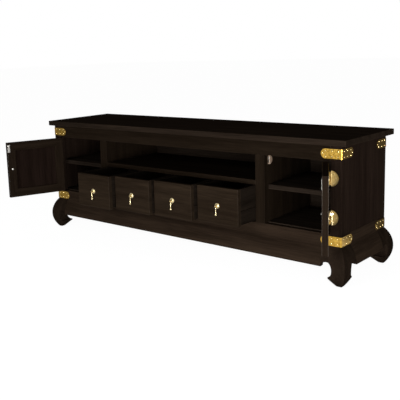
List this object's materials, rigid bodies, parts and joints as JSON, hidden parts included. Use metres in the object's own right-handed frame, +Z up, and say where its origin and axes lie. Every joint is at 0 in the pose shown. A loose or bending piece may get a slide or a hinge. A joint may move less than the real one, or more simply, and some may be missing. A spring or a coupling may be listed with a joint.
{
  "type": "tv cabinet",
  "caption": "Long low cabinet in dark lacquered wood with brass corner straps, hinged end doors, sliding drawers under an open bay, and scrolled legs.",
  "frame": {"origin": "On the floor under the middle of the cabinet's box as it stands open.", "axes": "+Z up, the front faces -Y, +X along the cabinet's width to the right as seen from the front."},
  "size_m": [1.9109, 0.7364, 0.6],
  "materials": {
    "lacquered_wood": "dark brown satin lacquer over fine straight grain",
    "inner_wood": "dark brown stain, duller than the outside",
    "brass": "polished gold brass"
  },
  "bodies": {
    "carcass": {"top_panel": "lacquered_wood", "front_top_rail": "lacquered_wood", "corner_stile_left": "lacquered_wood", "corner_stile_right": "lacquered_wood", "side_panel_left": "lacquered_wood", "side_panel_right": "lacquered_wood", "divider_left": "lacquered_wood", "divider_right": "lacquered_wood", "bottom_board": "inner_wood", "back_panel": "inner_wood", "middle_shelf": "lacquered_wood", "side_shelf_left": "inner_wood", "side_shelf_right": "inner_wood", "drawer_partition_1": "lacquered_wood", "drawer_partition_2": "lacquered_wood", "drawer_partition_3": "lacquered_wood", "leg_front_left": "lacquered_wood", "leg_front_right": "lacquered_wood", "leg_back_left": "lacquered_wood", "leg_back_right": "lacquered_wood", "apron_front": "lacquered_wood", "apron_back": "lacquered_wood", "apron_left": "lacquered_wood", "apron_right": "lacquered_wood", "strap_upper_front_left": "brass", "strap_upper_front_right": "brass", "strap_upper_back_left": "brass", "strap_upper_back_right": "brass", "strap_lower_front_left": "brass", "strap_lower_front_right": "brass", "strap_lower_back_left": "brass", "strap_lower_back_right": "brass", "hinge_leaf_fixed_upper_left": "brass", "hinge_leaf_fixed_upper_right": "brass", "hinge_leaf_fixed_lower_left": "brass", "hinge_leaf_fixed_lower_right": "brass"},
    "door_left": {"door_frame_left": "lacquered_wood", "door_panel_left": "lacquered_wood", "hinge_leaf_door_upper_left": "brass", "hinge_leaf_door_lower_left": "brass", "door_pull_left": "brass"},
    "door_drop_left": {"door_drop_left": "brass"},
    "door_right": {"door_frame_right": "lacquered_wood", "door_panel_right": "lacquered_wood", "hinge_leaf_door_upper_right": "brass", "hinge_leaf_door_lower_right": "brass", "door_pull_right": "brass"},
    "door_drop_right": {"door_drop_right": "brass"},
    "drawer_1": {"drawer_1": "lacquered_wood", "drawer_pull_1": "brass"},
    "drawer_drop_1": {"drawer_drop_1": "brass"},
    "drawer_2": {"drawer_2": "lacquered_wood", "drawer_pull_2": "brass"},
    "drawer_drop_2": {"drawer_drop_2": "brass"},
    "drawer_3": {"drawer_3": "lacquered_wood", "drawer_pull_3": "brass"},
    "drawer_drop_3": {"drawer_drop_3": "brass"},
    "drawer_4": {"drawer_4": "lacquered_wood", "drawer_pull_4": "brass"},
    "drawer_drop_4": {"drawer_drop_4": "brass"}
  },
  "joints": [
    {"name": "door_left_swing", "type": "hinge", "parent": "carcass", "child": "door_left", "pos_m": [-0.8425, -0.0703, 0.36175], "axis": [0, 0, -1], "range_deg": [-110.5, 59.5]},
    {"name": "door_drop_left_swing", "type": "hinge", "parent": "door_left", "child": "door_drop_left", "pos_m": [-0.94996, -0.33572, 0.36775], "axis": [0.3502, 0.9367, 0], "range_deg": [-8, 100]},
    {"name": "door_right_swing", "type": "hinge", "parent": "carcass", "child": "door_right", "pos_m": [0.8065, -0.0703, 0.36175], "axis": [0, 0, 1], "range_deg": [-118.5, 51.5]},
    {"name": "door_drop_right_swing", "type": "hinge", "parent": "door_right", "child": "door_drop_right", "pos_m": [0.94986, -0.31819, 0.36775], "axis": [0.4772, -0.8788, 0], "range_deg": [-8, 100]},
    {"name": "drawer_1_slide", "type": "slide", "parent": "carcass", "child": "drawer_1", "axis": [0, -1, 0], "range_m": [-0.205, 0.075]},
    {"name": "drawer_drop_1_swing", "type": "hinge", "parent": "drawer_1", "child": "drawer_drop_1", "pos_m": [-0.37069, -0.283, 0.29525], "axis": [-1, 0, 0], "range_deg": [-8, 100]},
    {"name": "drawer_2_slide", "type": "slide", "parent": "carcass", "child": "drawer_2", "axis": [0, -1, 0], "range_m": [-0.1765, 0.1035]},
    {"name": "drawer_drop_2_swing", "type": "hinge", "parent": "drawer_2", "child": "drawer_drop_2", "pos_m": [-0.13556, -0.2545, 0.29525], "axis": [-1, 0, 0], "range_deg": [-8, 100]},
    {"name": "drawer_3_slide", "type": "slide", "parent": "carcass", "child": "drawer_3", "axis": [0, -1, 0], "range_m": [-0.155, 0.125]},
    {"name": "drawer_drop_3_swing", "type": "hinge", "parent": "drawer_3", "child": "drawer_drop_3", "pos_m": [0.09956, -0.233, 0.29525], "axis": [-1, 0, 0], "range_deg": [-8, 100]},
    {"name": "drawer_4_slide", "type": "slide", "parent": "carcass", "child": "drawer_4", "axis": [0, -1, 0], "range_m": [-0.128, 0.152]},
    {"name": "drawer_drop_4_swing", "type": "hinge", "parent": "drawer_4", "child": "drawer_drop_4", "pos_m": [0.33469, -0.206, 0.29525], "axis": [-1, 0, 0], "range_deg": [-8, 100]}
  ]
}
